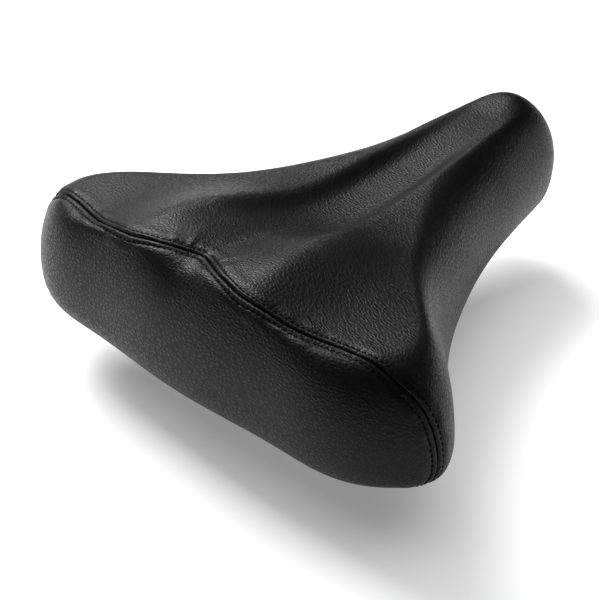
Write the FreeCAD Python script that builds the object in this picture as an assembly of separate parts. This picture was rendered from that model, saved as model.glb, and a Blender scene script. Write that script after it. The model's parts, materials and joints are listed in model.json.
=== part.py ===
import FreeCAD, Part
import math
import os

from FreeCAD import Vector

os.makedirs("parts", exist_ok=True)

# Bicycle saddle for a straight seatpost, millimetres.
# Frame: origin on the seatpost axis, level with the cross bolt; +X to the nose, +Y left, +Z up.
# The seat itself is drawn from its own rear edge and hem plane, then moved by SEAT_X and SEAT_Z.
SEAT_X = -135.0          # rear edge of the seat from the post axis
SEAT_Z = 20.0            # hem plane above the cross bolt
LENGTH = 270.0

# Half outline at the widest level, rear centre to nose tip: (x, y).
BELT = [(0, 0), (3, 62), (10, 107), (38.5, 130.5), (72, 106.5), (130, 65.5), (184.5, 43), (243, 29),
        (263, 21), (LENGTH, 0)]
BELT_STEPS = 44          # ribs along the half outline
RIB_ROWS = 18            # points of a rib above the widest level
RIB_FINE = 120           # steps that a rib's length is measured with
SPINE_REAR = 62.0        # the flat top's spine starts and ends here
SPINE_NOSE = 240.0

# Height tables along x: widest level, crest, groove depth and half width.
BELT_Z = [(0, 15.5), (60, 12), (160, 15), (LENGTH, 25)]
CREST_Z = [(0, 57.5), (30, 57.5), (60, 56), (110, 51.5), (160, 55), (210, 60.5), (250, 62), (LENGTH, 62.5)]
GROOVE_DEPTH = [(0, 1), (30, 2), (70, 3.5), (110, 3.5), (190, 4), (225, 3.5), (250, 0), (LENGTH, 0)]
GROOVE_HALF = [(0, 40), (50, 32), (110, 20), (190, 15), (LENGTH, 13)]
ROLL = [(0, 19), (50, 30), (150, 36), (LENGTH, 29)]
LOBE_HEIGHT = 14.0
LOBE_X, LOBE_Y = 34.0, 24.0
LOBE_LONG, LOBE_WIDE = 70.0, 34.0
TUCK = 7.0               # how far the side curls in under the widest level

# Layers.
COVER = 1.5
FOAM_SIDE = 6.5
FOAM_TOP = 14.0
SHELL = 3.0
SHELL_RELIEF = 0.5       # the shell follows half of the lobes and groove
SHELL_TUCK = 1.5
HEM = 6.0
FLANGE = 3.0
FLANGE_LIP = 1.0         # how far the flange reaches inside the wall

# Seam between the top panel and the rear panel, in plan: (distance from the middle, x).
SEAM = [(0, 27.5), (10, 23), (22, 18), (38, 16), (62, 18.5), (90, 25.5), (112, 29), (124, 33.5),
        (137, 38.5)]

# Post clamp and cross bolt.
POST_R = 11.1
BAND_WALL = 3.0
BAND_HALF = 12.5
BOLT_X = -28.0
BOLT_R = 4.0
RUNNING = 0.08
EAR_R = 14.0
EAR_IN, EAR_OUT = 2.5, 6.0
TOOTH_DEEP = 0.7
TEETH = 24
GAP = 0.3                # air between bodies that move apart

# Clamp plates that grip the rails.
PLATE_R = 17.0
PLATE_STEP = 15.0        # beyond this from the middle a plate is full size
PAD_TOP = 18.0
SPLIT = 0.6              # half the gap between inner and outer plate
OUTER_THICK = 6.4
WASHER_R, WASHER_THICK = 10.0, 1.6
NUT_ACROSS, NUT_HIGH = 13.0, 6.5
STUD_SPARE = 2.6

# Rails, one bent wire.
WIRE_R = 3.5
RAIL_Y = 22.0
RAIL_Z = 12.0
RAIL_BENDS = (12.0, 12.0, 14.0, 9.0)
RAIL_REAR_END = -104.0
RAIL_REAR_TOP = -79.0    # corners of the rail's side view, rear to front
RAIL_REAR_LOW = -64.5
RAIL_FRONT_LOW = 7.0

# Nose pivot.
PIVOT_X = 74.0
PIVOT_Z = 46.0
PIVOT_CORNER = 16.0
EYE_HALF = 7.0
EYE_WALL = 2.5
BRACKET_HALF = 9.0
BRACKET_REACH = 17.0
NOSE_SCREW_REACH = 12.5
SCREW_R, SCREW_HEAD_R, SCREW_HEAD = 2.4, 4.4, 2.6
SCREW_TOP = 57.0

# Rear bridge, bumpers and their bolts.
BRIDGE_X = -94.0
BRIDGE_TOP = 34.0
BRIDGE_THICK = 3.0
BRIDGE_HALF_WIDE = 15.0
BRIDGE_HALF_LONG = 48.0  # to the centres of its round ends
LIP = 4.0
SOCKET_R = 6.0
SOCKET_Z = 27.0
SOCKET_REAR, SOCKET_FRONT = -109.0, -85.0
BUMPER_R = 13.5
BUMPER_WAIST = 12.0
BUMPER_BORE = 4.2
BOSS_R = 17.0
BOSS_FACE = 56.0
CUP_R, CUP_THICK, CUP_RIM = 15.5, 1.5, 2.5
BUMPER_BOLT_R = 3.0
BRIDGE_HOLE_R = 5.5
BUMPER_BOLT_TOP = 61.0
INSERT_R, INSERT_TOP = 5.0, 61.5
BOLT_WASHER_R, BOLT_WASHER_THICK = 9.0, 1.5
BOLT_HEAD_ACROSS, BOLT_HEAD = 10.0, 4.0

# Staples along the hem.
STAPLES = 13             # on each side
STAPLE_CROWN, STAPLE_WIDE, STAPLE_WIRE, STAPLE_LEG = 9.0, 1.0, 0.5, 3.6


def table(pairs, x):
    """Smooth monotone interpolation of a (x, value) table, flat beyond its ends."""
    if x <= pairs[0][0]:
        return pairs[0][1]
    if x >= pairs[-1][0]:
        return pairs[-1][1]
    slopes = [(b[1] - a[1]) / (b[0] - a[0]) for a, b in zip(pairs, pairs[1:])]
    knots = [slopes[0]]
    for before, after in zip(slopes, slopes[1:]):
        knots.append(0 if before * after <= 0 else 2 * before * after / (before + after))
    knots.append(slopes[-1])
    i = max(k for k in range(len(slopes)) if pairs[k][0] <= x)
    step = pairs[i + 1][0] - pairs[i][0]
    t = (x - pairs[i][0]) / step
    low, high = pairs[i][1], pairs[i + 1][1]
    return (low * (2 * t**3 - 3 * t**2 + 1) + high * (3 * t**2 - 2 * t**3)
            + step * (knots[i] * (t**3 - 2 * t**2 + t) + knots[i + 1] * (t**3 - t**2)))


def crown(x, y, relief=1.0):
    """Height of the seat's top above the hem plane, before the sides roll off."""
    y = abs(y)
    lobe = LOBE_HEIGHT * math.exp(-((x - LOBE_X) / LOBE_LONG)**2 - ((y - LOBE_Y) / LOBE_WIDE)**2)
    groove = table(GROOVE_DEPTH, x) * math.exp(-(y / table(GROOVE_HALF, x))**3)
    return table(CREST_Z, x) + relief * (lobe - groove)


def belt_points():
    """Points and inward normals along the half outline, evenly spaced."""
    curve = Part.BSplineCurve()
    curve.interpolate(Points=[Vector(x, y, 0) for x, y in BELT],
                      InitialTangent=Vector(0, 70, 0), FinalTangent=Vector(0, -40, 0))
    points = curve.discretize(Number=BELT_STEPS)
    result = []
    for point in points:
        tangent = curve.tangent(curve.parameter(point))[0]
        result.append((point, Vector(tangent.y, -tangent.x, 0)))
    return result


BELT_LINE = belt_points()


def inset_outline(inset):
    """Half outline moved inwards, as points in plan."""
    points = []
    for point, normal in BELT_LINE:
        points.append(point + normal * inset)
    points[0].y = 0
    points[-1].y = 0
    return points


def rib(start, run, base, reach, drop, relief):
    """Evenly spaced points of one rib, from the widest level over the roll to the spine."""
    def at(t):
        way = run.Length * t * t
        place = start + run * (t * t)
        rise = math.sqrt(1 - (1 - min(way / reach, 1))**2)
        top = crown(place.x, place.y, relief) - drop
        return Vector(place.x, place.y, base + (top - base) * rise)

    fine = [at(i / RIB_FINE) for i in range(RIB_FINE + 1)]
    along = [0]
    for a, b in zip(fine, fine[1:]):
        along.append(along[-1] + a.distanceToPoint(b))
    points = []
    for row in range(RIB_ROWS):
        goal = along[-1] * row / (RIB_ROWS - 1)
        i = max(k for k in range(RIB_FINE) if along[k] <= goal)
        part = min((goal - along[i]) / (along[i + 1] - along[i]), 1)
        points.append(at((i + part) / RIB_FINE))
    return points


def dome(inset, drop, floor, tuck=TUCK, relief=1.0):
    """Closed solid of the seat's outer shape, made smaller by inset at the sides and drop on top."""
    low = [math.radians(a) for a in (90, 70, 50, 32, 16)]
    grid = []
    for point, normal in BELT_LINE:
        start = point + normal * inset
        spine = Vector(SPINE_REAR + point.x / LENGTH * (SPINE_NOSE - SPINE_REAR), 0, 0)
        run = spine - start
        reach = min(table(ROLL, point.x), 0.85 * run.Length)
        base = table(BELT_Z, point.x)
        column = []
        for a in low:
            place = start + normal * (tuck * (1 - math.cos(a)))
            column.append(Vector(place.x, place.y, base - (base - floor) * math.sin(a)))
        grid.append(column + rib(start, run, base, reach, drop, relief))
    for end in (0, -1):
        for point in grid[end]:
            point.y = 0
    for column in grid:
        column[-1].y = 0
    surface = Part.BSplineSurface()
    surface.interpolate(grid)
    left = surface.toShape()
    right = left.mirror(Vector(0, 0, 0), Vector(0, 1, 0))
    rim = [e for e in left.Edges if max(abs(v.Point.z - floor) for v in e.Vertexes) < 1e-6
           and e.CenterOfMass.y > 1]
    other = rim[0].mirror(Vector(0, 0, 0), Vector(0, 1, 0))
    bottom = Part.Face(Part.Wire(Part.__sortEdges__([rim[0], other])))
    shell = Part.makeShell([left, right, bottom])
    shell.sewShape()
    solid = Part.makeSolid(shell)
    if solid.Volume < 0:
        solid.reverse()
    return solid


def outline_prism(inset, z_low, z_high):
    """Vertical prism on the whole inset outline."""
    half = inset_outline(inset)
    curve = Part.BSplineCurve()
    curve.interpolate(half)
    left = curve.toShape()
    right = left.mirror(Vector(0, 0, 0), Vector(0, 1, 0))
    face = Part.Face(Part.Wire(Part.__sortEdges__([left, right])))
    prism = face.extrude(Vector(0, 0, z_high - z_low))
    prism.translate(Vector(0, 0, z_low))
    return prism


def seam_prism():
    """Everything behind the seam."""
    curve = Part.BSplineCurve()
    curve.interpolate([Vector(x, y, 0) for y, x in SEAM])
    left = curve.toShape()
    right = left.mirror(Vector(0, 0, 0), Vector(0, 1, 0))
    far = SEAM[-1]
    back = -40.0
    corners = [Vector(far[1], far[0], 0), Vector(back, far[0], 0), Vector(back, -far[0], 0),
               Vector(far[1], -far[0], 0)]
    edges = [left, right] + [Part.makeLine(a, b) for a, b in zip(corners, corners[1:])]
    face = Part.Face(Part.Wire(Part.__sortEdges__(edges)))
    prism = face.extrude(Vector(0, 0, 120))
    prism.translate(Vector(0, 0, -20))
    return prism


def cylinder(radius, start, direction, length):
    return Part.makeCylinder(radius, length, Vector(*start), Vector(*direction))


def block(x0, x1, y0, y1, z0, z1):
    return Part.makeBox(x1 - x0, y1 - y0, z1 - z0, Vector(x0, y0, z0))


def hexagon(across, start, direction, length):
    """Hexagonal prism with its faces across apart."""
    radius = across / math.sqrt(3)
    ring = []
    for k in range(7):
        angle = math.radians(60 * k)
        ring.append(Vector(radius * math.cos(angle), radius * math.sin(angle), 0))
    prism = Part.Face(Part.makePolygon(ring)).extrude(Vector(0, 0, length))
    # Lathe-cut corners of the faces.
    cone = Part.makeCone(radius + length * 1.7 - 0.9, radius - 0.9, length)
    prism = prism.common(cone)
    prism.Placement = FreeCAD.Placement(Vector(*start), FreeCAD.Rotation(Vector(0, 0, 1), Vector(*direction)))
    return prism


def side_mirror(shape):
    return shape.mirror(Vector(0, 0, 0), Vector(0, 1, 0))


def wire_path(points, radii):
    """Straight runs joined by tangent arcs, one radius for each inner point."""
    edges = []
    start = Vector(*points[0])
    for before, corner, after, radius in zip(points, points[1:], points[2:], radii):
        before, corner, after = Vector(*before), Vector(*corner), Vector(*after)
        into = (corner - before).normalize()
        away = (after - corner).normalize()
        turn = into.getAngle(away)
        back = radius * math.tan(turn / 2)
        first = corner - into * back
        last = corner + away * back
        middle = (away - into).normalize()
        centre = corner + middle * (radius / math.cos(turn / 2))
        edges.append(Part.makeLine(start, first))
        edges.append(Part.Arc(first, centre - middle * radius, last).toShape())
        start = last
    edges.append(Part.makeLine(start, Vector(*points[-1])))
    return Part.Wire(edges)


def round_bar(path, radius):
    first = path.Edges[0]
    start = first.Vertexes[0].Point
    direction = first.tangentAt(first.FirstParameter)
    section = Part.Wire(Part.makeCircle(radius, start, direction))
    return path.makePipeShell([section], True, True)


def move_seat(shape):
    """From the seat's own frame to the saddle's frame."""
    shape.translate(Vector(SEAT_X, 0, SEAT_Z))
    return shape


def both_sides(shape):
    return Part.makeCompound([shape, side_mirror(shape)])


def bumper_parts():
    """Bumpers with their cups, bolts, washers and threaded inserts, left side only."""
    centre = (BRIDGE_X, BRIDGE_HALF_LONG)
    cup_face = BOSS_FACE - CUP_THICK
    top = cup_face - GAP
    height = top - BRIDGE_TOP
    profile = [Vector(BUMPER_BORE, 0, 0), Vector(BUMPER_R, 0, 0), Vector(BUMPER_R, 0, 0.18 * height)]
    profile += [Vector(BUMPER_WAIST, 0, 0.3 * height), Vector(BUMPER_R, 0, 0.42 * height)]
    profile += [Vector(BUMPER_R, 0, 0.58 * height), Vector(BUMPER_WAIST, 0, 0.7 * height)]
    profile += [Vector(BUMPER_R, 0, 0.82 * height), Vector(BUMPER_R, 0, height)]
    profile += [Vector(BUMPER_BORE, 0, height)]
    ring = Part.Face(Part.makePolygon(profile + profile[:1]))
    bumper = ring.revolve(Vector(0, 0, 0), Vector(0, 0, 1), 360)
    bumper.translate(Vector(*centre, BRIDGE_TOP))
    cup = cylinder(CUP_R, (*centre, cup_face - CUP_RIM), (0, 0, 1), CUP_THICK + CUP_RIM)
    cup = cup.cut(cylinder(CUP_R - 1.2, (*centre, cup_face - CUP_RIM), (0, 0, 1), CUP_RIM))
    cup = cup.cut(cylinder(BUMPER_BOLT_R, (*centre, 0), (0, 0, 1), 100))
    insert = cylinder(INSERT_R, (*centre, BOSS_FACE), (0, 0, 1), INSERT_TOP - BOSS_FACE)
    insert = insert.cut(cylinder(BUMPER_BOLT_R, (*centre, 0), (0, 0, 1), 100))
    under = BRIDGE_TOP - BRIDGE_THICK - GAP
    washer = cylinder(BOLT_WASHER_R, (*centre, under - BOLT_WASHER_THICK), (0, 0, 1), BOLT_WASHER_THICK)
    washer = washer.cut(cylinder(BUMPER_BOLT_R, (*centre, 0), (0, 0, 1), 100))
    head_top = under - BOLT_WASHER_THICK
    bolt = hexagon(BOLT_HEAD_ACROSS, (*centre, head_top), (0, 0, -1), BOLT_HEAD)
    bolt = bolt.fuse(cylinder(BUMPER_BOLT_R, (*centre, head_top), (0, 0, 1), BUMPER_BOLT_TOP - head_top))
    return bumper, cup, insert, washer, bolt


def rear_bridge():
    """Pressed steel bar with a turned-down lip, two clearance holes and two welded rail sockets."""
    low = BRIDGE_TOP - BRIDGE_THICK

    def stadium(half_wide, z_low, z_high):
        ends = BRIDGE_HALF_LONG
        bar = block(BRIDGE_X - half_wide, BRIDGE_X + half_wide, -ends, ends, z_low, z_high)
        for side in (-1, 1):
            bar = bar.fuse(cylinder(half_wide, (BRIDGE_X, side * ends, z_low), (0, 0, 1), z_high - z_low))
        return bar.removeSplitter()

    bar = stadium(BRIDGE_HALF_WIDE, low - LIP, BRIDGE_TOP)
    bar = bar.cut(stadium(BRIDGE_HALF_WIDE - 2, low - LIP, low))
    for side in (-1, 1):
        bar = bar.cut(cylinder(BRIDGE_HOLE_R, (BRIDGE_X, side * BRIDGE_HALF_LONG, 0), (0, 0, 1), 60))
        rear_end = (SOCKET_REAR, side * RAIL_Y, SOCKET_Z)
        bar = bar.fuse(cylinder(SOCKET_R, rear_end, (1, 0, 0), SOCKET_FRONT - SOCKET_REAR))
    for side in (-1, 1):
        bar = bar.cut(cylinder(WIRE_R, (RAIL_REAR_END, side * RAIL_Y, SOCKET_Z), (1, 0, 0), 60))
    return bar.removeSplitter()


def rail_wire():
    """Both rails and the nose loop, one wire."""
    half = [(RAIL_REAR_END, RAIL_Y, SOCKET_Z), (RAIL_REAR_TOP, RAIL_Y, SOCKET_Z),
            (RAIL_REAR_LOW, RAIL_Y, RAIL_Z), (RAIL_FRONT_LOW, RAIL_Y, RAIL_Z),
            (PIVOT_X, PIVOT_CORNER, PIVOT_Z)]
    other = [(x, -y, z) for x, y, z in reversed(half)]
    return round_bar(wire_path(half + other, RAIL_BENDS + RAIL_BENDS[::-1]), WIRE_R)


def nose_bracket():
    """Plate under the nose with a rolled eye round the wire."""
    eye_r = WIRE_R + RUNNING + EYE_WALL
    top = PIVOT_Z + eye_r
    rear, front = PIVOT_X - BRACKET_REACH, PIVOT_X + BRACKET_REACH
    plate = block(rear, front, -BRACKET_HALF, BRACKET_HALF, top - EYE_WALL, top)
    plate = plate.makeFillet(4, [e for e in plate.Edges if abs(e.Vertexes[0].Z - e.Vertexes[-1].Z) > 1])
    eye = cylinder(eye_r, (PIVOT_X, -EYE_HALF, PIVOT_Z), (0, 1, 0), 2 * EYE_HALF)
    bracket = plate.fuse(eye).cut(cylinder(WIRE_R + RUNNING, (PIVOT_X, -30, PIVOT_Z), (0, 1, 0), 60))
    screws = []
    for reach in (-NOSE_SCREW_REACH, NOSE_SCREW_REACH):
        x = PIVOT_X + reach
        bracket = bracket.cut(cylinder(SCREW_R, (x, 0, 0), (0, 0, 1), 100))
        head = cylinder(SCREW_HEAD_R, (x, 0, top - EYE_WALL - SCREW_HEAD), (0, 0, 1), SCREW_HEAD)
        head = head.makeFillet(1.2, [head.Edges[2]])
        drive = hexagon(3.0, (x, 0, top - EYE_WALL - SCREW_HEAD - 0.1), (0, 0, 1), 1.7)
        shank = cylinder(SCREW_R, (x, 0, top - EYE_WALL), (0, 0, 1), SCREW_TOP - top + EYE_WALL)
        screws.append(head.cut(drive).fuse(shank))
    return bracket, Part.makeCompound(screws), top


def nose_block(low, room):
    """Moulded block between the bracket and the shell's inside, which the bracket's screws bite into."""
    reach = BRACKET_REACH + 2
    half = BRACKET_HALF + 2
    high = SEAT_Z + max(z for _, z in CREST_Z)
    solid = block(PIVOT_X - reach, PIVOT_X + reach, -half, half, low, high)
    solid = solid.makeFillet(4, [e for e in solid.Edges if abs(e.Vertexes[0].Z - e.Vertexes[-1].Z) > 1])
    for step in (-NOSE_SCREW_REACH, NOSE_SCREW_REACH):
        solid = solid.cut(cylinder(SCREW_R, (PIVOT_X + step, 0, 0), (0, 0, 1), SCREW_TOP))
    return solid.common(room)


def radial_grooves(face_y):
    """V grooves of a serrated face, centred on the cross bolt."""
    grooves = []
    ring = [Vector(5.0, 0, -TOOTH_DEEP), Vector(5.0, TOOTH_DEEP, 0), Vector(5.0, 0, TOOTH_DEEP),
            Vector(5.0, -TOOTH_DEEP, 0), Vector(5.0, 0, -TOOTH_DEEP)]
    prism = Part.Face(Part.makePolygon(ring)).extrude(Vector(EAR_R, 0, 0))
    for k in range(TEETH):
        groove = prism.copy()
        groove.rotate(Vector(0, 0, 0), Vector(0, 1, 0), 360 / TEETH * k)
        groove.translate(Vector(BOLT_X, face_y, 0))
        grooves.append(groove)
    return Part.makeCompound(grooves)


def post_band():
    """Folded band round the post with two serrated ears."""
    band = cylinder(POST_R + BAND_WALL, (0, 0, -BAND_HALF), (0, 0, 1), 2 * BAND_HALF)
    for side in (-1, 1):
        low = min(side * EAR_IN, side * EAR_OUT)
        high = max(side * EAR_IN, side * EAR_OUT)
        band = band.fuse(block(BOLT_X, 0, low, high, -BAND_HALF, BAND_HALF))
        band = band.fuse(cylinder(EAR_R, (BOLT_X, low, 0), (0, 1, 0), high - low))
    band = band.cut(cylinder(POST_R, (0, 0, -30), (0, 0, 1), 60))
    band = band.cut(block(-40, -5, -EAR_IN, EAR_IN, -30, 30))
    band = band.cut(cylinder(BOLT_R + 0.2, (BOLT_X, -30, 0), (0, 1, 0), 60))
    for side in (-1, 1):
        band = band.cut(radial_grooves(side * EAR_OUT))
    return band


def clamp_plates():
    """Inner and outer plate of the left rail."""
    groove = cylinder(WIRE_R + RUNNING, (BOLT_X - 40, RAIL_Y, RAIL_Z), (1, 0, 0), 80)
    bore = cylinder(BOLT_R + RUNNING, (BOLT_X, 0, 0), (0, 1, 0), 60)

    def pad(y_low, y_high):
        solid = cylinder(PLATE_R, (BOLT_X, y_low, 0), (0, 1, 0), y_high - y_low)
        solid = solid.fuse(block(BOLT_X - PLATE_R, BOLT_X + PLATE_R, y_low, y_high, 0, PAD_TOP))
        solid = solid.removeSplitter()
        corners = [e for e in solid.Edges if abs(e.Vertexes[0].Y - e.Vertexes[-1].Y) > 1
                   and e.Vertexes[0].Z > PAD_TOP - 1]
        return solid.makeFillet(3, corners)

    inner = cylinder(EAR_R, (BOLT_X, EAR_OUT + GAP, 0), (0, 1, 0), PLATE_STEP - EAR_OUT)
    inner = inner.fuse(pad(PLATE_STEP, RAIL_Y - SPLIT)).cut(groove).cut(bore)
    inner = inner.cut(radial_grooves(EAR_OUT + GAP))
    start = RAIL_Y + SPLIT
    outer = pad(start, start + OUTER_THICK)
    outer = outer.cut(groove).cut(bore)
    return inner, outer, start + OUTER_THICK


def cross_bolt(plate_face):
    """Threaded stud, and the left washer and nut."""
    washer_in = plate_face + GAP
    washer = cylinder(WASHER_R, (BOLT_X, washer_in, 0), (0, 1, 0), WASHER_THICK)
    washer = washer.cut(cylinder(BOLT_R, (BOLT_X, 0, 0), (0, 1, 0), 60))
    nut_in = washer_in + WASHER_THICK
    nut = hexagon(NUT_ACROSS, (BOLT_X, nut_in, 0), (0, 1, 0), NUT_HIGH)
    nut = nut.cut(cylinder(BOLT_R, (BOLT_X, 0, 0), (0, 1, 0), 60))
    end = nut_in + NUT_HIGH + STUD_SPARE
    stud = cylinder(BOLT_R, (BOLT_X, -end, 0), (0, 1, 0), 2 * end)
    rims = [e for e in stud.Edges if len(e.Vertexes) == 1]
    return stud.makeChamfer(0.8, rims), washer, nut


def hem_staples():
    """Wire staples that hold the folded hem up against the shell's flange."""
    line = inset_outline(TUCK + HEM / 2)
    curve = Part.BSplineCurve()
    curve.interpolate(line)
    staples = []
    half = STAPLE_WIDE / 2
    crown_bar = block(-STAPLE_CROWN / 2, STAPLE_CROWN / 2, -half, half, -STAPLE_WIRE, 0)
    for end in (-1, 1):
        x = end * (STAPLE_CROWN / 2 - half)
        leg = block(x - half, x + half, -half, half, 0, STAPLE_LEG)
        crown_bar = crown_bar.fuse(leg)
    staple = crown_bar.removeSplitter()
    points = curve.discretize(Number=2 * STAPLES + 1)
    for point in points[1::2]:
        tangent = curve.tangent(curve.parameter(point))[0]
        piece = staple.copy()
        piece.rotate(Vector(0, 0, 0), Vector(0, 0, 1), math.degrees(math.atan2(tangent.y, tangent.x)))
        piece.translate(point)
        staples += [piece, side_mirror(piece)]
    return Part.makeCompound(staples)


def seat_shapes():
    """Cover panels, foam, and the shell's outside, inside and flange, in the seat's own frame."""
    outer = dome(0, 0, 0)
    inner = dome(COVER, COVER, COVER)
    # The shell's wall stands on the flange.
    flange_top = COVER + FLANGE
    side, top = COVER + FOAM_SIDE, COVER + FOAM_TOP
    shell_outer = dome(side, top, flange_top, SHELL_TUCK, SHELL_RELIEF)
    shell_inner = dome(side + SHELL, top + SHELL, flange_top, SHELL_TUCK, SHELL_RELIEF)
    skin = outer.cut(inner).cut(outline_prism(TUCK + HEM, -2, COVER + 1))
    behind = seam_prism()
    flange = outline_prism(TUCK + COVER, COVER, flange_top)
    flange = flange.cut(outline_prism(side + SHELL + SHELL_TUCK + FLANGE_LIP, 0, flange_top + 1))
    below = block(-20, LENGTH + 20, -150, 150, -5, flange_top)
    foam = inner.cut(shell_outer).cut(below)
    return skin.cut(behind), skin.common(behind), foam, shell_outer, shell_inner, flange


def base_shell(shell_outer, shell_inner, flange):
    """Shell with two bosses for the bumper bolts' inserts."""
    for side in (-1, 1):
        boss = cylinder(BOSS_R, (BRIDGE_X, side * BRIDGE_HALF_LONG, BOSS_FACE), (0, 0, 1), 30)
        shell_inner = shell_inner.cut(boss)
    shell = shell_outer.cut(shell_inner).fuse(flange)
    for side in (-1, 1):
        pocket = cylinder(INSERT_R, (BRIDGE_X, side * BRIDGE_HALF_LONG, 0), (0, 0, 1), INSERT_TOP)
        shell = shell.cut(pocket)
    return shell


def build():
    """Every sub-part by name."""
    top_cover, rear_cover, foam, shell_outer, shell_inner, flange = [move_seat(s) for s in seat_shapes()]
    bracket, nose_screws, bracket_top = nose_bracket()
    bumper, cup, insert, washer, bolt = bumper_parts()
    inner, outer, plate_face = clamp_plates()
    stud, stud_washer, nut = cross_bolt(plate_face)
    return {
        "top_cover": top_cover,
        "rear_cover": rear_cover,
        "foam_pad": foam,
        "base_shell": base_shell(shell_outer, shell_inner, flange),
        "nose_block": nose_block(bracket_top, shell_inner),
        "cover_staples": move_seat(hem_staples()),
        "nose_bracket": bracket,
        "nose_bracket_screws": nose_screws,
        "shell_inserts": both_sides(insert),
        "bumper_cups": both_sides(cup),
        "bumper_bolts": both_sides(bolt),
        "bumper_bolt_washers": both_sides(washer),
        "rail_wire": rail_wire(),
        "rear_bridge": rear_bridge(),
        "bumper_left": bumper,
        "bumper_right": side_mirror(bumper),
        "inner_plate_left": inner,
        "inner_plate_right": side_mirror(inner),
        "outer_plate_left": outer,
        "outer_plate_right": side_mirror(outer),
        "post_band": post_band(),
        "cross_bolt": stud,
        "cross_washer_left": stud_washer,
        "cross_washer_right": side_mirror(stud_washer),
        "cross_nut_left": nut,
        "cross_nut_right": side_mirror(nut),
    }


for name, shape in build().items():
    shape.exportStep("parts/" + name + ".step")
    print(name, shape.isValid(), len(shape.Solids), round(shape.Volume, 1), "mm3")
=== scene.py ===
# %% [markdown]
# # A wide bicycle saddle in grained black vinyl
# The steel clamp, rails, bumpers and shell come from the imported CAD part and stay where they are.
# This script adds what soft goods need: two sewn cover panels, the foam under them, the stitches
# of the seam, rubber bumpers, and a material for every piece.

import json
import math

import bmesh
import bpy
import numpy as np
from mathutils import Matrix, Vector
from mathutils.bvhtree import BVHTree


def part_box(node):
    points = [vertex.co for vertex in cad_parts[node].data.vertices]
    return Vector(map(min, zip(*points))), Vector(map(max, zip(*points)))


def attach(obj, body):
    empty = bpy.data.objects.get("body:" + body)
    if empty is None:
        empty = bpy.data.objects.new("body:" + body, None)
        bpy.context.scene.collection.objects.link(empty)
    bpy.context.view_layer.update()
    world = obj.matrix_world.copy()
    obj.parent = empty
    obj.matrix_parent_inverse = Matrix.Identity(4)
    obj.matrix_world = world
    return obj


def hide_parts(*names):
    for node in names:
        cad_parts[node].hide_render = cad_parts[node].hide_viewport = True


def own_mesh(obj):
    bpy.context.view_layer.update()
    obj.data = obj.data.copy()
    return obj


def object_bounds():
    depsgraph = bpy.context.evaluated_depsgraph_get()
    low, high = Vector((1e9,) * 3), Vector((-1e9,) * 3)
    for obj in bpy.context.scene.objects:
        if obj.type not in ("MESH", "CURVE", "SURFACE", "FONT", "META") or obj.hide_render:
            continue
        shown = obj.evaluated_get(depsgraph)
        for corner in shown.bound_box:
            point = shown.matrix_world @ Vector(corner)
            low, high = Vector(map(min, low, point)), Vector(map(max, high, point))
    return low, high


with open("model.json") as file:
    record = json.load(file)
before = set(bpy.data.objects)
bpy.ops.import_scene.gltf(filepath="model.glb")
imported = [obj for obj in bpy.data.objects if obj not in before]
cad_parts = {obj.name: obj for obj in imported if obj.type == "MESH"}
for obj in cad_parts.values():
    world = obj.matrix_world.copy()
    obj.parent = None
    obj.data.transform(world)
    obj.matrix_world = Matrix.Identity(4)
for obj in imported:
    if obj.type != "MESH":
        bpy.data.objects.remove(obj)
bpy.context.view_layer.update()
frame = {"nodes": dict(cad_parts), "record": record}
nodes = frame["nodes"]
MM = 0.001
print("CAD nodes:", len(nodes))

# %% [markdown]
# ## The shape of the seat
# A saddle top is drawn by a few curves, as a maker's templates are: the outline seen from above,
# the height of the crest along the middle, the depth of the centre groove, and how wide the sides
# roll over. They are the CAD part's own dimensions, in millimetres from the rear edge and the hem.

# %% Dimensions of the seat
SEAT_X, SEAT_Z = -135.0, 20.0
LENGTH = 270.0
BELT = [(0, 0), (3, 62), (10, 107), (38.5, 130.5), (72, 106.5), (130, 65.5), (184.5, 43), (243, 29),
        (263, 21), (LENGTH, 0)]
SPINE_REAR, SPINE_NOSE = 62.0, 240.0
BELT_Z = [(0, 15.5), (60, 12), (160, 15), (LENGTH, 25)]
CREST_Z = [(0, 57.5), (30, 57.5), (60, 56), (110, 51), (160, 54.7), (210, 60.5), (250, 62), (LENGTH, 62.5)]
GROOVE_DEPTH = [(0, 1), (30, 3.5), (60, 5), (110, 5.5), (190, 5.5), (225, 4), (252, 0), (LENGTH, 0)]
GROOVE_HALF = [(0, 40), (50, 30), (110, 20), (190, 16), (LENGTH, 13)]
ROLL = [(0, 19), (50, 30), (150, 36), (LENGTH, 29)]
LOBE_HEIGHT, LOBE_X, LOBE_Y = 14.0, 34.0, 24.0
LOBE_LONG, LOBE_WIDE = 70.0, 34.0
TUCK, HEM = 7.0, 6.0
SEAM = [(0, 28.8), (10, 23), (22, 17.5), (38, 14.5), (62, 18), (90, 25.5), (112, 28.5), (124, 33.5),
        (137, 38.5)]
SEAM_TIP = 3.0


def table(pairs, x):
    """Smooth monotone interpolation of (x, value) pairs, flat beyond their ends."""
    px, pv = np.array(pairs, float).T
    step = np.diff(px)
    slope = np.diff(pv) / step
    product = slope[:-1] * slope[1:]
    total = np.where(np.abs(slope[:-1] + slope[1:]) < 1e-12, 1, slope[:-1] + slope[1:])
    knots = np.concatenate([slope[:1], np.where(product > 0, 2 * product / total, 0), slope[-1:]])
    x = np.clip(x, px[0], px[-1])
    i = np.clip(np.searchsorted(px, x, side="right") - 1, 0, len(step) - 1)
    t = (x - px[i]) / step[i]
    return (pv[i] * (2 * t**3 - 3 * t**2 + 1) + pv[i + 1] * (3 * t**2 - 2 * t**3)
            + step[i] * (knots[i] * (t**3 - 2 * t**2 + t) + knots[i + 1] * (t**3 - t**2)))


# %% [markdown]
# The outline is one smooth spline through ten points, square to the middle at both ends. Half of it
# is enough, because the saddle is the same on both sides.

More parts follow.
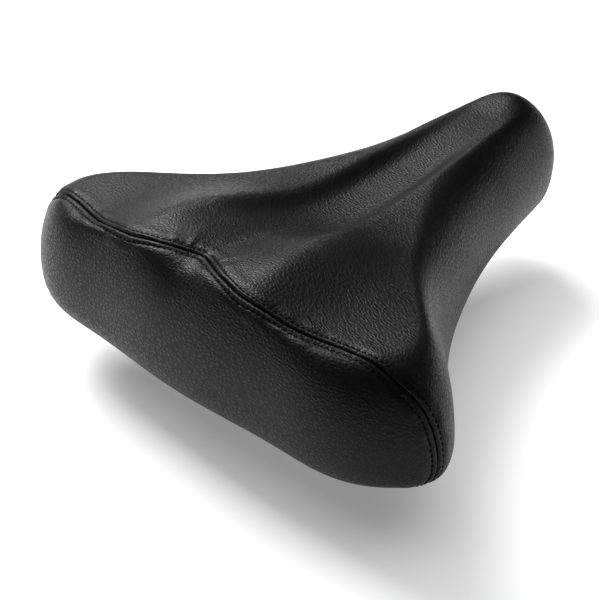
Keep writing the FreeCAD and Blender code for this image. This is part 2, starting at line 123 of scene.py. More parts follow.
# %% Outline spline
knot_xy = np.array(BELT, float)
knot_t = np.concatenate([[0], np.cumsum(np.linalg.norm(np.diff(knot_xy, axis=0), axis=1))])
gap = np.diff(knot_t)
matrix = np.eye(len(knot_xy))
wanted = np.zeros_like(knot_xy)
wanted[0], wanted[-1] = (0, 1), (0, -1)
for i in range(1, len(knot_xy) - 1):
    matrix[i, i - 1:i + 2] = gap[i], 2 * (gap[i - 1] + gap[i]), gap[i - 1]
    ahead, behind = knot_xy[i + 1] - knot_xy[i], knot_xy[i] - knot_xy[i - 1]
    wanted[i] = 3 * (gap[i - 1] * ahead / gap[i] + gap[i] * behind / gap[i - 1])
knot_slope = np.linalg.solve(matrix, wanted)


def spline(t):
    """Point and unit tangent of the outline at spline parameter t."""
    i = np.clip(np.searchsorted(knot_t, t, side="right") - 1, 0, len(gap) - 1)
    h = gap[i][:, None]
    s = ((t - knot_t[i]) / gap[i])[:, None]
    a, b, ma, mb = knot_xy[i], knot_xy[i + 1], knot_slope[i], knot_slope[i + 1]
    point = a * (2 * s**3 - 3 * s**2 + 1) + b * (3 * s**2 - 2 * s**3)
    point = point + h * (ma * (s**3 - 2 * s**2 + s) + mb * (s**3 - s**2))
    tangent = a * (6 * s**2 - 6 * s) / h + b * (6 * s - 6 * s**2) / h
    tangent = tangent + ma * (3 * s**2 - 4 * s + 1) + mb * (3 * s**2 - 2 * s)
    return point, tangent / np.linalg.norm(tangent, axis=1)[:, None]


even_t = np.linspace(0, knot_t[-1], 1500)
even_s = np.concatenate([[0], np.cumsum(np.linalg.norm(np.diff(spline(even_t)[0], axis=0), axis=1))])
OUTLINE = even_s[-1]
print("half outline", round(OUTLINE, 1), "mm")


# %% [markdown]
# A point of the skin has two numbers. `u` runs along the outline from the middle of the back to the
# nose, in millimetres. `k` climbs the side: -1 to 0 is the hem folded under the shell, 0 to 1 the
# tucked side below the widest line, 1 to 1.5 the roll over the edge, and 1.5 to 2 the top as far as
# the middle.

# %% Skin of the seat
def crown(x, y, relief=1.0):
    """Height of the top before the sides roll off."""
    y = np.sqrt(y**2 + 36.0)
    lobe = LOBE_HEIGHT * np.exp(-((x - LOBE_X) / LOBE_LONG)**2 - ((y - LOBE_Y) / LOBE_WIDE)**2)
    groove = table(GROOVE_DEPTH, x) * np.exp(-(y / table(GROOVE_HALF, x))**6)
    return table(CREST_Z, x) + relief * (lobe - groove)


def skin(u, k, inset=0.0, drop=0.0, floor=0.0, tuck=TUCK, relief=1.0):
    """Points of the skin in the seat's own millimetres, left half."""
    belt, tangent = spline(np.interp(u, even_s, even_t))
    normal = np.stack([tangent[:, 1], -tangent[:, 0]], 1)
    start = belt + normal * inset
    spine = np.stack([SPINE_REAR + belt[:, 0] / LENGTH * (SPINE_NOSE - SPINE_REAR), 0 * u], 1)
    run = spine - start
    length = np.linalg.norm(run, axis=1)
    reach = np.minimum(table(ROLL, belt[:, 0]), 0.85 * length)
    base = table(BELT_Z, belt[:, 0])
    angle = np.clip(1 - k, 0, 1) * math.pi / 2
    low = start + normal * (tuck * (1 - np.cos(angle)) + HEM * np.clip(-k, 0, 1))[:, None]
    turn = np.clip((k - 1) / 0.5, 0, 1)
    way = reach * (1 - np.cos(turn * math.pi / 2)) + (length - reach) * np.clip((k - 1.5) / 0.5, 0, 1)
    high = start + run * (way / length)[:, None]
    rise = np.sqrt(np.clip(1 - (1 - np.minimum(way / reach, 1))**2, 0, 1))
    over = k > 1
    x = np.where(over, high[:, 0], low[:, 0])
    y = np.where(over, high[:, 1], low[:, 1])
    top = crown(x, y, relief) - drop
    z = np.where(over, base + (top - base) * rise, base - (base - floor) * np.sin(angle))
    return np.stack([x, y, z], 1)


def skin_normal(u, k):
    """Outward unit normals of the skin."""
    near, far = np.maximum(u - 0.4, 0), np.minimum(u + 0.4, OUTLINE)
    down, up = np.maximum(k - 0.004, -1), np.minimum(k + 0.004, 2)
    along = skin(far, k) - skin(near, k)
    climb = skin(u, up) - skin(u, down)
    normal = np.cross(climb, along)
    return normal / np.linalg.norm(normal, axis=1)[:, None]


def behind_seam(u, k):
    """Negative behind the seam, positive ahead of it."""
    p = skin(u, np.maximum(k, 0))
    return p[:, 0] - table(SEAM, np.hypot(p[:, 1], SEAM_TIP))



# %% [markdown]
# ## The seam line
# The top panel and the rear panel meet along the crest of the two lobes, with a tongue that points
# forward in the middle, and the seam runs down each side to the hem. The line is followed on the
# skin: over the top by its place seen from above, and down the side by its height.

# %% Follow the seam on the skin
def solve(function, low, high, steps=50):
    """Zero of a rising function between low and high, for whole arrays."""
    for _ in range(steps):
        middle = (low + high) / 2
        above = function(middle) > 0
        low, high = np.where(above, low, middle), np.where(above, middle, high)
    return (low + high) / 2


def from_plan(x, y):
    """u and k of the point of the top at a place seen from above."""
    def side_of(u):
        belt = spline(np.interp(u, even_s, even_t))[0]
        sx = SPINE_REAR + belt[:, 0] / LENGTH * (SPINE_NOSE - SPINE_REAR)
        return (sx - belt[:, 0]) * (y - belt[:, 1]) - (0 - belt[:, 1]) * (x - belt[:, 0])
    sign = np.sign(side_of(np.full_like(x, 1.0)) - side_of(np.full_like(x, 200.0)))[0]
    u = solve(lambda u: -sign * side_of(u), np.full_like(x, 0.0), np.full_like(x, 260.0))
    belt = spline(np.interp(u, even_s, even_t))[0]
    spine = np.stack([SPINE_REAR + belt[:, 0] / LENGTH * (SPINE_NOSE - SPINE_REAR), 0 * u], 1)
    length = np.linalg.norm(spine - belt, axis=1)
    way = np.hypot(x - belt[:, 0], y - belt[:, 1])
    reach = np.minimum(table(ROLL, belt[:, 0]), 0.85 * length)
    roll = 1 + 0.5 * np.arccos(np.clip(1 - way / reach, -1, 1)) / (math.pi / 2)
    return u, np.where(way < reach, roll, 1.5 + 0.5 * (way - reach) / (length - reach))


corner_u = solve(lambda u: behind_seam(u, np.ones_like(u)), np.array([90.0]), np.array([230.0]))[0]
corner_y = skin(np.array([corner_u]), np.array([1.0]))[0, 1]
over_y = corner_y * np.sin(np.linspace(0, 0.998, 500) * math.pi / 2)
over_u, over_k = from_plan(table(SEAM, np.hypot(over_y, SEAM_TIP)), over_y)
side_k = np.linspace(1, -1, 160)
side_u = solve(lambda u: behind_seam(u, side_k), np.full_like(side_k, 90.0), np.full_like(side_k, 230.0))
seam_uk = np.array([np.concatenate([over_u, side_u]), np.concatenate([over_k, side_k])])
seam_raw = skin(*seam_uk)
seam_s = np.concatenate([[0], np.cumsum(np.linalg.norm(np.diff(seam_raw, axis=0), axis=1))])
SEAM_STEP = 0.5
even = np.arange(0, seam_s[-1], SEAM_STEP)
seam_line = np.stack([np.interp(even, seam_s, seam_raw[:, i]) for i in range(3)], 1)
print("seam", round(2 * seam_s[-1]), "mm long, corner at", round(corner_u, 1))


def seam_distance(points, u, k):
    """Signed distance from the seam line, and the place along it, in millimetres."""
    sign = np.where(behind_seam(u, k) < 0, -1.0, 1.0)
    distance = np.full(len(points), 99.0)
    place = np.zeros(len(points))
    start, step = seam_line[:-1], np.diff(seam_line, axis=0)
    squared = (step**2).sum(1)
    for first in range(0, len(points), 4000):
        block = points[first:first + 4000]
        close = np.abs(behind_seam(u[first:first + 4000], k[first:first + 4000])) < 30
        if not close.any():
            continue
        away = block[close][:, None, :] - start[None]
        t = np.clip((away * step).sum(2) / squared, 0, 1)
        gaps = ((away - t[:, :, None] * step)**2).sum(2)
        best = gaps.argmin(1)
        rows = np.nonzero(close)[0] + first
        distance[rows] = np.sqrt(gaps[np.arange(len(best)), best])
        place[rows] = (best + t[np.arange(len(best)), best]) * SEAM_STEP
    return sign * distance, place


# %% [markdown]
# ## The cover panels
# Real covers are cut from flat vinyl, sewn, and pulled over the foam, so the panels follow the foam
# everywhere except at the seam, where the edges turn in. Mesh code is the honest way here: a grid
# over the skin, divided finer only near the seam, cut exactly along the seam line, and then pushed
# in and out by how far each point is from it.

# %% Grid over the left half of the skin
COLUMNS, ROWS = 150, 54
FINER_WITHIN = (9.0, 5.2)    # millimetres from the seam, one subdivision each
column_u = OUTLINE * np.linspace(0, 1, COLUMNS + 1)
fine_k = np.linspace(0, 2, 400)
grid_u, grid_k = [], []
for u in column_u:
    path = skin(np.full_like(fine_k, u), fine_k)
    length = np.concatenate([[0], np.cumsum(np.linalg.norm(np.diff(path, axis=0), axis=1))])
    even_rows = np.interp(np.linspace(0, length[-1], ROWS), length, fine_k)
    k = np.concatenate([np.linspace(-1, 0, 4)[:-1], even_rows])
    grid_u.append(np.full_like(k, u))
    grid_k.append(k)
grid_u, grid_k = np.array(grid_u), np.array(grid_k)


def place_all(bm, layer_u, layer_k):
    """Puts every vertex on the skin and returns u, k and the points."""
    u = np.clip(np.array([v[layer_u] for v in bm.verts]), 0, OUTLINE)
    k = np.clip(np.array([v[layer_k] for v in bm.verts]), -1, 2)
    points = skin(u, k)
    points[(u < 1e-4) | (u > OUTLINE - 1e-4) | (k > 2 - 1e-6), 1] = 0
    for v, p in zip(bm.verts, points):
        v.co = p
    return u, k, points


def half_skin():
    """The left half of the skin as a mesh, fine near the seam."""
    bm = bmesh.new()
    layer_u = bm.verts.layers.float.new("u")
    layer_k = bm.verts.layers.float.new("k")
    rows = []
    for us, ks in zip(grid_u, grid_k):
        row = []
        for u, k in zip(us, ks):
            v = bm.verts.new((u, k, 0))
            v[layer_u], v[layer_k] = u, k
            row.append(v)
        rows.append(row)
    for a, b in zip(rows, rows[1:]):
        for i in range(len(a) - 1):
            bm.faces.new((a[i], a[i + 1], b[i + 1], b[i]))
    for reach in FINER_WITHIN:
        u, k, points = place_all(bm, layer_u, layer_k)
        distance = np.abs(seam_distance(points, u, k)[0])
        bm.verts.index_update()
        edges = [e for e in bm.edges if min(distance[v.index] for v in e.verts) < reach]
        bmesh.ops.subdivide_edges(bm, edges=edges, cuts=1, use_grid_fill=True)
    return bm, layer_u, layer_k


bm, layer_u, layer_k = half_skin()
print("half skin", len(bm.verts), "vertices")

# %% [markdown]
# Cutting: vertices very close to the line count as on it, every edge that crosses the line gets a
# new vertex there, and faces are split between those vertices. Two clean edges are left to turn in.

# %% Cut along the seam
SNAP = 0.12
u, k, points = place_all(bm, layer_u, layer_k)
distance = seam_distance(points, u, k)[0]
bm.verts.index_update()
signed = {v: d for v, d in zip(bm.verts, distance)}
on_line = set(v for v, d in signed.items() if abs(d) < SNAP)
for e in list(bm.edges):
    a, b = e.verts
    if a in on_line or b in on_line or signed[a] * signed[b] > 0:
        continue
    share = abs(signed[a]) / (abs(signed[a]) + abs(signed[b]))
    ua, ka, ub, kb = a[layer_u], a[layer_k], b[layer_u], b[layer_k]
    new = bmesh.utils.edge_split(e, a, share)[1]
    new[layer_u], new[layer_k] = ua + (ub - ua) * share, ka + (kb - ka) * share
    signed[new] = 0.0
    on_line.add(new)
bmesh.ops.connect_verts(bm, verts=list(on_line))
sides = {}
for face in bm.faces:
    total = sum(signed[v] for v in face.verts if v not in on_line)
    sides[face] = total > 0
print("cut through", len(on_line), "vertices")

# %% [markdown]
# The edge profile of a lapped and topstitched seam, across the line: a narrow valley where the
# panels turn in, a raised lip, a shallow channel pulled down by the stitches 3 mm away, and a soft
# swell of foam beyond them, a little uneven along the seam as sewn vinyl is.

# %% Seam profile and panels
STITCH_OFF = 3.0
VALLEY_DEEP, VALLEY_HALF = 1.25, 1.25
# From (x, y) to (x, y) in the seat's plan, height, width.
FOLDS = [(26, 9, 41, 17, 0.75, 1.6), (22, 15, 36, 27, 0.35, 2.0), (31, 2, 47, 4, 0.3, 2.2)]
VINYL_THICK = 1.35


def seam_relief(distance, place):
    """Height of the cover over the smooth skin near the seam."""
    d = np.abs(distance)
    edge = np.clip(1 - d / VALLEY_HALF, 0, 1)
    valley = -VALLEY_DEEP * (1 - np.sqrt(np.clip(1 - edge**2, 0, 1)))
    lip = 0.32 * np.exp(-((d - 1.55) / 0.75)**2)
    channel = -0.42 * np.exp(-((d - STITCH_OFF) / 0.55)**2)
    swell = 0.35 * np.exp(-((d - 6.0) / 2.6)**2)
    wave = np.sin(place / 2.3 + 1.3 * np.sin(place / 11.0)) + 0.6 * np.sin(place / 4.1 + 2.0)
    pucker = 0.13 * wave * np.exp(-((d - 4.6) / 2.0)**2)
    return valley + lip + channel + swell + pucker


def folds(points):
    """Small folds that radiate from the tip of the tongue, where the top panel is snipped and eased."""
    x, y = points[:, 0], points[:, 1]
    height = np.zeros(len(points))
    for x0, y0, x1, y1, tall, wide in FOLDS:
        along = np.array([x1 - x0, y1 - y0], float)
        span = np.hypot(*along)
        along /= span
        s = (x - x0) * along[0] + (y - y0) * along[1]
        across = (x - x0) * along[1] - (y - y0) * along[0]
        fade = np.clip(s / 3, 0, 1) * np.clip(1 - s / span, 0, 1)
        height += tall * fade * np.exp(-(across / (wide * (0.6 + 0.8 * np.clip(s / span, 0, 1))))**2)
    return np.where(points[:, 2] > 30, height, 0)


def make_panel(name, ahead):
    """One cover panel: half of it cut from the skin, shaped, mirrored, then given its thickness."""
    piece = bm.copy()
    lu, lk = piece.verts.layers.float["u"], piece.verts.layers.float["k"]
    piece.faces.ensure_lookup_table()
    keep = [sides[f] == ahead for f in bm.faces]
    bmesh.ops.delete(piece, geom=[f for f, good in zip(list(piece.faces), keep) if not good], context="FACES")
    u, k, points = place_all(piece, lu, lk)
    distance, place = seam_distance(points, u, k)
    rim = np.abs(distance) < 0.15
    normal = skin_normal(u, k)
    normal[points[:, 1] < 1e-6, 1] = 0
    normal /= np.linalg.norm(normal, axis=1)[:, None]
    lift = seam_relief(np.where(rim, 0, distance), place) + (folds(points) if ahead else 0)
    shaped = points + normal * lift[:, None]
    shaped[rim, 0] += 0.06 if ahead else -0.06
    for v, p in zip(piece.verts, shaped):
        v.co = ((p[0] + SEAT_X) * MM, p[1] * MM, (p[2] + SEAT_Z) * MM)
    bmesh.ops.recalc_face_normals(piece, faces=piece.faces)
    piece.faces.ensure_lookup_table()
    test = max(piece.faces, key=lambda f: f.calc_center_median().z)
    if test.normal.z < 0:
        bmesh.ops.reverse_faces(piece, faces=piece.faces)
    mesh = bpy.data.meshes.new(name)
    piece.to_mesh(mesh)
    piece.free()
    obj = bpy.data.objects.new(name, mesh)
    bpy.context.scene.collection.objects.link(obj)
    for kind, settings in (("MIRROR", {"use_axis": (False, True, False), "merge_threshold": 2e-5}),
                           ("SOLIDIFY", {"thickness": VINYL_THICK * MM, "offset": -1})):
        modifier = obj.modifiers.new(kind, kind)
        for key, value in settings.items():
            setattr(modifier, key, value)
        with bpy.context.temp_override(object=obj, active_object=obj, selected_objects=[obj]):
            bpy.ops.object.modifier_apply(modifier=modifier.name)
    for polygon in obj.data.polygons:
        polygon.use_smooth = True
    print(name, len(obj.data.polygons), "faces")
    return obj


top_panel = make_panel("top_panel", True)
rear_panel = make_panel("rear_panel", False)
bm.free()
for panel, node in ((top_panel, "top_cover"), (rear_panel, "rear_cover")):
    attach(panel, "seat")
    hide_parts(node)

# %% [markdown]
# ## Materials
# A shader is easier to read as arithmetic than as a tangle of nodes, so one small class wraps a
# socket and lets `+` and `*` add Math nodes. Every other node comes from one method.

# %% Shader helpers
class Signal:
    """A value on its way through a shader."""

    def __init__(self, graph, socket):
        self.graph, self.socket = graph, socket

    def _math(self, operation, a, b):
        return self.graph.add("ShaderNodeMath", {"operation": operation}, {0: a, 1: b})

    def __add__(self, other):
        return self._math("ADD", self, other)

    def __radd__(self, other):
        return self._math("ADD", other, self)

    def __mul__(self, other):
        return self._math("MULTIPLY", self, other)

    def __rmul__(self, other):
        return self._math("MULTIPLY", other, self)


class Graph:
    """The node tree of one material."""

    def __init__(self, name):
        self.material = bpy.data.materials.new(name)
        self.material.use_nodes = True
        self.tree = self.material.node_tree
        self.shader = self.tree.nodes["Principled BSDF"]
        self.place = self.add("ShaderNodeTexCoord", {}, {}, "Object")

    def add(self, kind, settings, inputs, output=0):
        node = self.tree.nodes.new(kind)
        for key, value in settings.items():
            setattr(node, key, value)
        for key, value in inputs.items():
            self.feed(node.inputs[key], value)
        return Signal(self, node.outputs[output])

    def feed(self, socket, value):
        if isinstance(value, Signal):
            self.tree.links.new(value.socket, socket)
        else:
            socket.default_value = value

    def noise(self, scale, detail=2.0, vector=None, roughness=0.5):
        inputs = {"Vector": vector or self.place, "Scale": scale, "Detail": detail, "Roughness": roughness}
        return self.add("ShaderNodeTexNoise", {}, inputs)

    def cells(self, scale, vector=None, feature="SMOOTH_F1", smooth=0.35):
        inputs = {"Vector": vector or self.place, "Scale": scale}
        if feature == "SMOOTH_F1":
            inputs["Smoothness"] = smooth
        return self.add("ShaderNodeTexVoronoi", {"feature": feature}, inputs)

    def stretch(self, scale, vector=None):
        return self.add("ShaderNodeMapping", {}, {"Vector": vector or self.place, "Scale": scale})

    def between(self, value, low, high, out_low=0.0, out_high=1.0):
        return self.add("ShaderNodeMapRange", {}, {"Value": value, "From Min": low, "From Max": high,
                                                   "To Min": out_low, "To Max": out_high})

    def blend(self, share, a, b):
        return self.add("ShaderNodeMix", {"data_type": "RGBA"}, {0: share, 6: a, 7: b}, 2)

    def bump(self, height, strength, depth):
        return self.add("ShaderNodeBump", {}, {"Height": height, "Strength": strength, "Distance": depth})

    def finish(self, **values):
        for key, value in values.items():
            self.feed(self.shader.inputs[key.replace("_", " ")], value)
        return self.material


# %% [markdown]
# ### Grained vinyl
# Saddle vinyl is embossed with small drawn-out pebbles. Smooth Voronoi cells about two millimetres
# apart give the pebbles, a slow noise bends their rows so that they seem to flow over the shape, and
# a second noise makes some patches pressed flatter. The valleys between pebbles are duller than their
# tops, and their colour is painted blacker there as shade in the recesses.

# %% Vinyl
def vinyl():
    g = Graph("vinyl_black")
    slow = {"Vector": g.place, "Scale": 9.0, "Detail": 1.0}
    drift = g.add("ShaderNodeTexNoise", {"noise_dimensions": "3D"}, slow, "Color")
    drift = g.add("ShaderNodeVectorMath", {"operation": "SCALE"}, {0: drift, "Scale": 0.02})
    moved = g.add("ShaderNodeVectorMath", {"operation": "ADD"}, {0: g.place, 1: drift})
    rows = g.stretch((1.6, 0.75, 1.1), moved)
    pebbles = g.between(g.cells(500.0, rows, "DISTANCE_TO_EDGE"), 0.03, 0.3)
    fine = g.noise(2600.0, 2.0)
    patches = g.between(g.noise(26.0, 2.0), 0.35, 0.65)
    height = pebbles * (0.7 + 0.3 * patches) + fine * 0.08
    # Painted shade: the base colour is blacker in the valleys between pebbles than on their tops.
    return g.finish(
        Base_Color=g.blend(pebbles, (0.0012, 0.0012, 0.0014, 1), (0.004, 0.004, 0.0045, 1)),
        Roughness=g.between(pebbles, 0.0, 1.0, 0.5, 0.3) + 0.04 * patches,
        Normal=g.bump(height, 0.9, 0.00013), Specular_IOR_Level=0.15)


vinyl_black = vinyl()
for panel in (top_panel, rear_panel):
    panel.data.materials.clear()
    panel.data.materials.append(vinyl_black)

# %% [markdown]
# ### Topstitching
# Two rows of lockstitch hold the turned-in edges down, one on each panel, three millimetres from the
# seam. One stitch is a short thread, thick in the middle and dipping into the vinyl at its ends. It
# is shaped once from a small sphere and copied along both rows, lying on the panel's real surface.

# %% Stitches
PITCH, THREAD = 2.9, 0.52


def one_stitch():
    bpy.ops.object.select_all(action="DESELECT")
    bpy.ops.mesh.primitive_uv_sphere_add(segments=8, ring_count=6, radius=MM, rotation=(0, math.pi / 2, 0))
    obj = bpy.context.object
    bpy.ops.object.transform_apply(location=False, rotation=True, scale=False)
    bpy.ops.object.mode_set(mode="EDIT")
    bpy.ops.mesh.select_all(action="SELECT")
    bpy.ops.transform.resize(value=(1.12, THREAD, THREAD * 0.8), center_override=(0, 0, 0))
    bpy.ops.object.mode_set(mode="OBJECT")
    return obj


def stitch_row(name, panel, offset):
    """A row of stitches on both sides of the saddle, offset from the seam along the panel."""
    mesh = panel.data
    surface = BVHTree.FromPolygons([v.co for v in mesh.vertices], [p.vertices for p in mesh.polygons])
    hem_s = seam_s[len(over_y) + int(np.argmin(np.abs(side_k)))]
    place = np.arange(PITCH / 2, hem_s - 0.5, PITCH)
    u = np.interp(place, seam_s, seam_uk[0])
    k = np.interp(place, seam_s, seam_uk[1])
    line = np.stack([np.interp(place, seam_s, seam_raw[:, i]) for i in range(3)], 1)
    ahead = np.stack([np.interp(place + 0.8, seam_s, seam_raw[:, i]) for i in range(3)], 1)
    tangent = ahead - line
    tangent /= np.linalg.norm(tangent, axis=1)[:, None]
    sideways = np.cross(tangent, skin_normal(u, k))
    sideways *= np.where(sideways[:, :1] < 0, -1, 1)
    spots = line + sideways * offset
    model = one_stitch()
    copies = []
    for spot, way in zip(spots, tangent):
        for mirrored in (1, -1):
            aim = Vector(((spot[0] + SEAT_X) * MM, spot[1] * mirrored * MM, (spot[2] + SEAT_Z) * MM))
            found, normal, *_ = surface.find_nearest(aim)
            x = Vector((way[0], way[1] * mirrored, way[2]))
            x = (x - normal * x.dot(normal)).normalized()
            y = normal.cross(x)
            copy = model.copy()
            copy.data = model.data.copy()
            bpy.context.scene.collection.objects.link(copy)
            turn = Matrix((x, y, normal)).transposed().to_4x4()
            copy.data.transform(Matrix.Translation(found + normal * 0.08 * MM) @ turn)
            copies.append(copy)
    bpy.data.objects.remove(model)
    bpy.ops.object.select_all(action="DESELECT")
    for copy in copies:
        copy.select_set(True)
    bpy.context.view_layer.objects.active = copies[0]
    bpy.ops.object.join()
    bpy.ops.object.shade_smooth()
    row = bpy.context.object
    row.name = row.data.name = name
    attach(row, "seat")
    print(name, len(copies), "stitches")
    return row


stitches = [stitch_row("stitches_top", top_panel, STITCH_OFF),
            stitch_row("stitches_rear", rear_panel, -STITCH_OFF)]

# %% [markdown]
# A bonded polyester thread is black too, but it is smoother than the vinyl and twisted, so it shows
# as tiny glints. Diagonal bands along the thread stand for its plies.

# %% Thread
def thread():
    g = Graph("thread")
    twist = {"Vector": g.place, "Scale": 900.0, "Distortion": 0.6}
    plies = g.add("ShaderNodeTexWave", {"bands_direction": "DIAGONAL"}, twist)
    return g.finish(Base_Color=g.blend(plies, (0.0005, 0.0005, 0.0005, 1), (0.003, 0.003, 0.003, 1)),
                    Roughness=g.between(plies, 0, 1, 0.7, 0.5), Normal=g.bump(plies, 0.4, 0.00006),
                    Specular_IOR_Level=0.06)


thread_black = thread()
for row in stitches:
    row.data.materials.append(thread_black)

# %% [markdown]
# ## Foam
# Moulded foam fills the space between the cover and the shell, thick on top and thin down the sides.
# It is one closed form: the skin taken in by the cover's thickness, the shell's outside, and a rim
# that joins them above the flange.

# %% Foam core
FLANGE_TOP = 4.6


def foam_core():
    bm = bmesh.new()
    us = OUTLINE * np.linspace(0, 1, 91)
    ks = np.concatenate([np.linspace(0, 1, 7), 1 + np.linspace(0, 1, 25)[1:]])
    layers = []
    for settings in (dict(inset=1.7, drop=1.7), dict(inset=8.0, drop=15.45, tuck=1.5, relief=0.5)):
        rows = []
        for u in us:
            points = skin(np.full_like(ks, u), ks, floor=FLANGE_TOP, **settings)
            points[(ks > 2 - 1e-6) | (u < 1e-6) | (u > OUTLINE - 1e-6), 1] = 0
            places = [((p[0] + SEAT_X) * MM, p[1] * MM, (p[2] + SEAT_Z) * MM) for p in points]
            rows.append([bm.verts.new(place) for place in places])
        layers.append(rows)
    outer, inner = layers
    for rows, flip in ((outer, False), (inner, True)):
        for a, b in zip(rows, rows[1:]):
            for i in range(len(ks) - 1):
                ring = (a[i], a[i + 1], b[i + 1], b[i])
                bm.faces.new(ring[::-1] if flip else ring)
    for a, b, c, d in zip(outer, outer[1:], inner, inner[1:]):
        bm.faces.new((a[0], b[0], d[0], c[0]))
    mesh = bpy.data.meshes.new("foam_core")
    bm.to_mesh(mesh)
    bm.free()
    obj = bpy.data.objects.new("foam_core", mesh)
    bpy.context.scene.collection.objects.link(obj)
    bpy.ops.object.select_all(action="DESELECT")
    obj.select_set(True)
    bpy.context.view_layer.objects.active = obj
    modifier = obj.modifiers.new("both_sides", "MIRROR")
    modifier.use_axis = (False, True, False)
    modifier.merge_threshold = 2e-5
    bpy.ops.object.modifier_apply(modifier=modifier.name)
    bpy.ops.object.mode_set(mode="EDIT")
    bpy.ops.mesh.select_all(action="SELECT")
    bpy.ops.mesh.remove_doubles(threshold=2e-5)
    bpy.ops.mesh.normals_make_consistent(inside=False)
    bpy.ops.object.mode_set(mode="OBJECT")
    bpy.ops.object.shade_smooth_by_angle(angle=math.radians(45))
    return obj


foam = foam_core()
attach(foam, "seat")
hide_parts("foam_pad")
print("foam", len(foam.data.polygons), "faces")

# %% [markdown]
# ## Rubber bumpers
# Two ribbed rubber bumpers carry the back of the seat and flatten when the rider sits. They are
# turned shapes: a ring is extruded and resized level by level, out along the foot, up over three
# ribs and back down the bore, where it meets its own start.

# %% Bumpers
def turned(name, x, y, rings, count=72):
    """A ring-shaped piece turned round a vertical axis, closed on itself."""
    bpy.ops.object.select_all(action="DESELECT")
    bpy.ops.mesh.primitive_circle_add(vertices=count, radius=rings[0][0], location=(x, y, rings[0][1]))
    obj = bpy.context.object
    obj.name = obj.data.name = name
    bpy.ops.object.mode_set(mode="EDIT")
    bpy.ops.mesh.select_mode(type="EDGE")
    bpy.ops.mesh.select_all(action="SELECT")
    for (r0, z0), (r1, z1) in zip(rings, rings[1:] + rings[:1]):
        bpy.ops.mesh.extrude_region_move(TRANSFORM_OT_translate={"value": (0, 0, z1 - z0)})
        bpy.ops.transform.resize(value=(r1 / r0, r1 / r0, 1), center_override=(x, y, z1))
    bpy.ops.mesh.select_all(action="SELECT")
    bpy.ops.mesh.remove_doubles(threshold=1e-6)
    bpy.ops.mesh.normals_make_consistent(inside=False)
    bpy.ops.object.mode_set(mode="OBJECT")
    bpy.ops.object.transform_apply(location=True, rotation=True, scale=True)
    bpy.ops.object.shade_smooth_by_angle(angle=math.radians(40))
    return obj


# Radius in millimetres and share of the height, from the bore out and up to the middle rib.
RIBS = [(4.2, 0), (12.8, 0), (13.3, 0.015), (13.5, 0.05), (13.5, 0.16), (13.2, 0.2), (12.4, 0.25),
        (12.0, 0.3), (12.4, 0.35), (13.2, 0.4), (13.5, 0.44)]
bumpers = []
for side in ("left", "right"):
    low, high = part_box("bumper_" + side)
    tall = high.z - low.z
    rings = RIBS + [(r, 1 - t) for r, t in reversed(RIBS)]
    rings = [(r * MM, low.z + t * tall) for r, t in rings]
    piece = turned("rubber_bumper_" + side, (low.x + high.x) / 2, (low.y + high.y) / 2, rings)
    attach(piece, "undercarriage")
    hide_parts("bumper_" + side)
    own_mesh(piece)
    bumpers.append(piece)
print("bumpers", [len(b.data.polygons) for b in bumpers])

# %% [markdown]
# ### Finishes of the hard parts
# The rails, bridge and nose bracket are powder coated: black, with the faint orange peel of a baked
# coat. The clamp and the fasteners are zinc plated, so they are bright but milky, with a grain left
# by the plating. The shell is textured polypropylene, the inserts are brass.

# %% Hard finishes
def powder_coat():
    g = Graph("black_steel")
    peel = g.noise(700.0, 2.0)
    haze = g.between(g.noise(35.0, 4.0), 0.3, 0.7)
    return g.finish(Base_Color=g.blend(haze, (0.008, 0.008, 0.009, 1), (0.02, 0.02, 0.021, 1)),
                    Roughness=0.3 + 0.16 * haze, Normal=g.bump(peel, 0.35, 0.00025), Coat_Weight=0.3)


def zinc_plate():
    g = Graph("zinc_steel")
    cloud = g.between(g.noise(60.0, 5.0, roughness=0.6), 0.3, 0.7)
    brushed = g.noise(900.0, 3.0, g.stretch((1.0, 0.06, 1.0)))
    colour = g.blend(cloud, (0.46, 0.47, 0.48, 1), (0.66, 0.67, 0.67, 1))
    return g.finish(Base_Color=colour, Metallic=1.0, Roughness=0.26 + 0.16 * cloud + 0.08 * brushed,
                    Normal=g.bump(brushed, 0.25, 0.00012))


def brass():
    g = Graph("brass")
    cloud = g.noise(80.0, 4.0)
    return g.finish(Base_Color=g.blend(cloud, (0.52, 0.34, 0.12, 1), (0.78, 0.56, 0.25, 1)), Metallic=1.0,
                    Roughness=0.28 + 0.2 * cloud, Normal=g.bump(g.noise(1200.0), 0.2, 0.0001))


def moulded_plastic():
    g = Graph("shell_plastic")
    texture = g.cells(900.0, smooth=0.6)
    flow = g.between(g.noise(18.0, 3.0), 0.3, 0.7)
    return g.finish(Base_Color=g.blend(flow, (0.012, 0.012, 0.013, 1), (0.024, 0.024, 0.025, 1)),
                    Roughness=0.46 + 0.14 * texture, Normal=g.bump(texture, 0.3, 0.0002))


def rubber():
    g = Graph("elastomer")
    bloom = g.between(g.noise(90.0, 4.0), 0.35, 0.75)
    return g.finish(Base_Color=g.blend(bloom, (0.012, 0.012, 0.012, 1), (0.035, 0.035, 0.036, 1)),
                    Roughness=0.62 + 0.2 * bloom, Normal=g.bump(g.noise(1500.0, 3.0), 0.3, 0.00015))


def open_foam():
    g = Graph("foam")
    pores = g.cells(700.0, smooth=0.2)
    shade = g.between(pores, 0.1, 0.6)
    return g.finish(Base_Color=g.blend(shade, (0.3, 0.27, 0.2, 1), (0.68, 0.63, 0.5, 1)),
                    Roughness=0.92 + 0.05 * shade, Normal=g.bump(pores, 0.8, 0.0006))


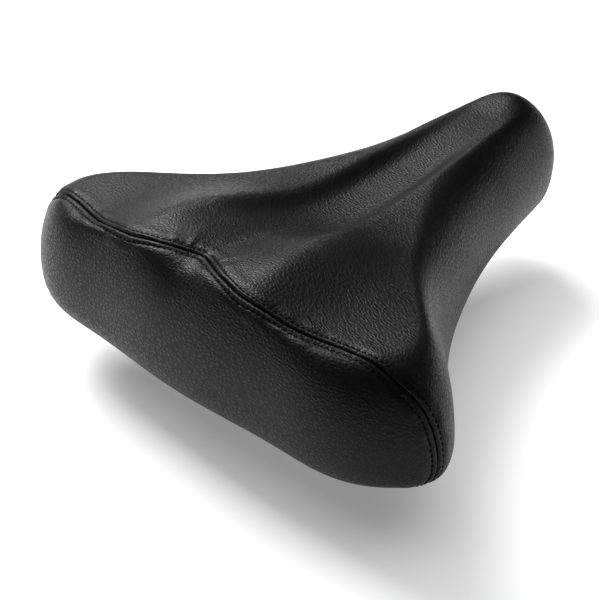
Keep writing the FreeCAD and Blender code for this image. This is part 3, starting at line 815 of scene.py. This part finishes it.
finishes = {"vinyl_black": vinyl_black, "black_steel": powder_coat(), "zinc_steel": zinc_plate(),
            "brass": brass(), "shell_plastic": moulded_plastic(), "elastomer": rubber(), "foam": open_foam()}
for part in frame["record"]["subparts"]:
    mesh = nodes[part["node"]].data
    mesh.materials.clear()
    mesh.materials.append(finishes[part["material_slot"]])
for piece in bumpers:
    piece.data.materials.append(finishes["elastomer"])
foam.data.materials.append(finishes["foam"])
print("finishes:", sorted(finishes))

# %% [markdown]
# ## Studio
# A pale floor, and soft panels around the saddle. Black vinyl shows its shape almost only by what
# it mirrors, so one large panel hangs to the left, where the crests mirror it towards the viewer,
# and a small one stands low on the right. The ceiling whitens the floor and isn't mirrored.

# %% Floor, lights and camera
low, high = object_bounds()
bpy.ops.object.select_all(action="DESELECT")
bpy.ops.mesh.primitive_plane_add(size=8, location=(0, 0, low[2] - 0.0005))
floor = bpy.context.object
floor.name = "floor"
pale = Graph("pale_floor")
floor.data.materials.append(pale.finish(Base_Color=(0.86, 0.86, 0.86, 1), Roughness=0.9,
                                        Emission_Color=(1, 1, 1, 1), Emission_Strength=0.25))


def softbox(name, place, aim, size, power):
    light = bpy.data.lights.new(name, "AREA")
    light.shape = "RECTANGLE"
    light.size, light.size_y = size
    light.energy = power
    obj = bpy.data.objects.new(name, light)
    bpy.context.scene.collection.objects.link(obj)
    obj.location = place
    obj.rotation_euler = (Vector(aim) - Vector(place)).to_track_quat("-Z", "Y").to_euler()
    return obj


softbox("left_window", (0.2, 1.0, 1.15), (0, 0, 0.05), (1.1, 0.8), 44)
softbox("right_low", (1.3, -0.75, 0.16), (0, 0, 0.05), (0.7, 0.3), 2)
room = softbox("ceiling", (0, 0, 2.4), (0, 0, 0), (3.2, 3.2), 50)
room.visible_glossy = False
world = bpy.data.worlds.new("room")
bpy.context.scene.world = world
world.use_nodes = True
world.node_tree.nodes["Background"].inputs[0].default_value = (1, 1, 1, 1)
world.node_tree.nodes["Background"].inputs[1].default_value = 0.03

bpy.context.scene.view_settings.view_transform = "Standard"

camera = bpy.data.objects.new("camera", bpy.data.cameras.new("camera"))
bpy.context.scene.collection.objects.link(camera)
bpy.context.scene.camera = camera
AZIMUTH, ELEVATION, LEAN = math.radians(45.8), math.radians(34.7), math.radians(-2.1)
TARGET = Vector((-54.2, -4.9, 35.5)) * MM
DISTANCE = 0.700
level = math.cos(ELEVATION)
back = Vector((-math.cos(AZIMUTH) * level, -math.sin(AZIMUTH) * level, math.sin(ELEVATION)))
right = (-back).cross(Vector((0, 0, 1))).normalized()
up = right.cross(-back)
right, up = right * math.cos(LEAN) + up * math.sin(LEAN), up * math.cos(LEAN) - right * math.sin(LEAN)
camera.matrix_world = Matrix((right, up, back)).transposed().to_4x4()
camera.location = TARGET + back * DISTANCE
camera.data.sensor_width = 36
camera.data.lens = 1440.8 / 600 * 36
camera.data.clip_start = 0.01
